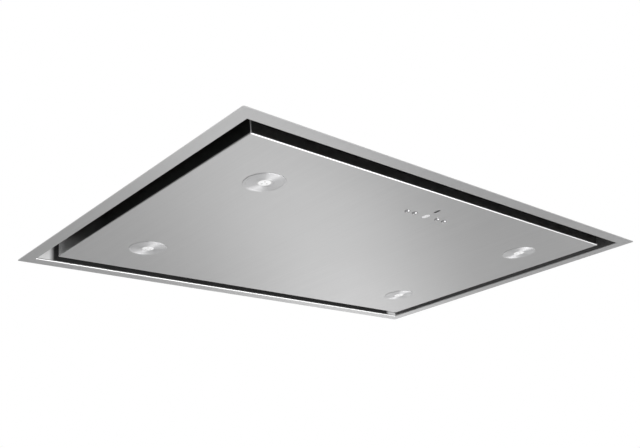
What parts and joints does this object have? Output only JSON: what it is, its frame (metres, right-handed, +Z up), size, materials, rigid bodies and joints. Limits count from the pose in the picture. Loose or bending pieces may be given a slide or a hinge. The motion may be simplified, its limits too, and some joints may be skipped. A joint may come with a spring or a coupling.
{
  "type": "ceiling range hood",
  "caption": "Flush ceiling range hood: trim frame, hinged stainless panel with a perimeter air slot, spot lamps and push buttons, blower and duct outlet hidden above.",
  "frame": {"origin": "centre of the hood in the plane of the ceiling, on the trim flange's upper face", "axes": "+X along the long side, +Y from the control side to the hinge side, +Z up into the ceiling"},
  "size_m": [0.9, 0.6, 0.3216],
  "materials": {
    "brushed_stainless": "fine brushed stainless steel",
    "turned_aluminium": "lathe-turned, concentric tool marks",
    "frosted_lens": "frosted polycarbonate lens",
    "display_glass": "pale translucent window",
    "smoked_window": "smoked infrared window",
    "polished_steel": "polished dome",
    "spring_steel": "drawn wire",
    "zinc_sheet": "zinc-plated sheet, faint spangle",
    "screw_steel": "zinc-plated turned steel",
    "black_steel": "satin black powder coat",
    "filter_aluminium": "mill-finish expanded aluminium",
    "heat_sink_aluminium": "die-cast aluminium",
    "black_plastic": "fine-grained moulding",
    "grey_plastic": "moulded polypropylene",
    "motor_casing": "painted steel can",
    "magnet_block": "moulded magnet holder",
    "circuit_board": "lacquered circuit board"
  },
  "bodies": {
    "housing": {"trim_frame": "brushed_stainless", "casing_front": "zinc_sheet", "casing_back": "zinc_sheet", "casing_left": "zinc_sheet", "casing_right": "zinc_sheet", "casing_roof": "zinc_sheet", "hanging_brackets": "zinc_sheet", "blower_box_left": "zinc_sheet", "blower_box_right": "zinc_sheet", "blower_box_roof": "zinc_sheet", "electronics_box": "zinc_sheet", "electronics_lid": "zinc_sheet", "hinge_brackets": "zinc_sheet", "motor_bracket": "zinc_sheet", "casing_screws": "screw_steel", "blower_screws": "screw_steel", "hinge_pins": "screw_steel", "damper_pin": "screw_steel", "filter_tray": "black_steel", "filter_rail_front": "black_steel", "filter_rail_rear": "black_steel", "filter_frame_left": "filter_aluminium", "filter_frame_right": "filter_aluminium", "filter_mesh_left": "filter_aluminium", "filter_mesh_right": "filter_aluminium", "outlet_collar": "black_plastic", "cable_gland": "black_plastic", "scroll_left": "grey_plastic", "scroll_right": "grey_plastic", "motor": "motor_casing", "catch_magnets": "magnet_block", "power_board": "circuit_board"},
    "panel": {"perimeter_panel": "brushed_stainless", "panel_stiffener_left": "zinc_sheet", "panel_stiffener_right": "zinc_sheet", "hinge_arms": "zinc_sheet", "catch_strikes": "zinc_sheet", "lamp_bezel_1": "turned_aluminium", "lamp_bezel_2": "turned_aluminium", "lamp_bezel_3": "turned_aluminium", "lamp_bezel_4": "turned_aluminium", "lamp_lenses": "frosted_lens", "lamp_bodies": "heat_sink_aluminium", "lamp_lock_rings": "black_plastic", "display_window": "display_glass", "receiver_window": "smoked_window", "button_board": "circuit_board", "control_housing": "black_plastic", "button_springs": "spring_steel"},
    "button_1": {"button_1": "polished_steel"},
    "button_2": {"button_2": "polished_steel"},
    "button_3": {"button_3": "polished_steel"},
    "button_4": {"button_4": "polished_steel"},
    "impeller": {"impeller": "grey_plastic", "motor_shaft": "screw_steel"},
    "damper_flap_back": {"damper_flap_back": "black_plastic"},
    "damper_flap_front": {"damper_flap_front": "black_plastic"},
    "filter_latch_left": {"filter_latch_left": "black_plastic"},
    "filter_latch_right": {"filter_latch_right": "black_plastic"}
  },
  "joints": [
    {"name": "panel_hinge", "type": "hinge", "parent": "housing", "child": "panel", "pos_m": [0, 0.235, 0.034], "axis": [1, 0, 0], "range_deg": [0, 85]},
    {"name": "impeller_spin", "type": "hinge", "parent": "housing", "child": "impeller", "pos_m": [0, 0, 0.172], "axis": [1, 0, 0], "continuous": true},
    {"name": "damper_back_hinge", "type": "hinge", "parent": "housing", "child": "damper_flap_back", "pos_m": [0, 0.081, 0.2915], "axis": [1, 0, 0], "range_deg": [0, 75]},
    {"name": "damper_front_hinge", "type": "hinge", "parent": "housing", "child": "damper_flap_front", "pos_m": [0, 0.081, 0.2915], "axis": [-1, 0, 0], "range_deg": [0, 75]},
    {"name": "latch_left_slide", "type": "slide", "parent": "housing", "child": "filter_latch_left", "axis": [0, 1, 0], "range_m": [0, 0.0055], "stiffness_N_per_m": 300, "springref_m": -0.003},
    {"name": "latch_right_slide", "type": "slide", "parent": "housing", "child": "filter_latch_right", "axis": [0, 1, 0], "range_m": [0, 0.0055], "stiffness_N_per_m": 300, "springref_m": -0.003},
    {"name": "button_1_press", "type": "slide", "parent": "panel", "child": "button_1", "axis": [0, 0, 1], "range_m": [0, 0.0012], "stiffness_N_per_m": 400, "springref_m": -0.001, "deforming": ["button_springs"]},
    {"name": "button_2_press", "type": "slide", "parent": "panel", "child": "button_2", "axis": [0, 0, 1], "range_m": [0, 0.0012], "stiffness_N_per_m": 400, "springref_m": -0.001, "deforming": ["button_springs"]},
    {"name": "button_3_press", "type": "slide", "parent": "panel", "child": "button_3", "axis": [0, 0, 1], "range_m": [0, 0.0012], "stiffness_N_per_m": 400, "springref_m": -0.001, "deforming": ["button_springs"]},
    {"name": "button_4_press", "type": "slide", "parent": "panel", "child": "button_4", "axis": [0, 0, 1], "range_m": [0, 0.0012], "stiffness_N_per_m": 400, "springref_m": -0.001, "deforming": ["button_springs"]}
  ]
}
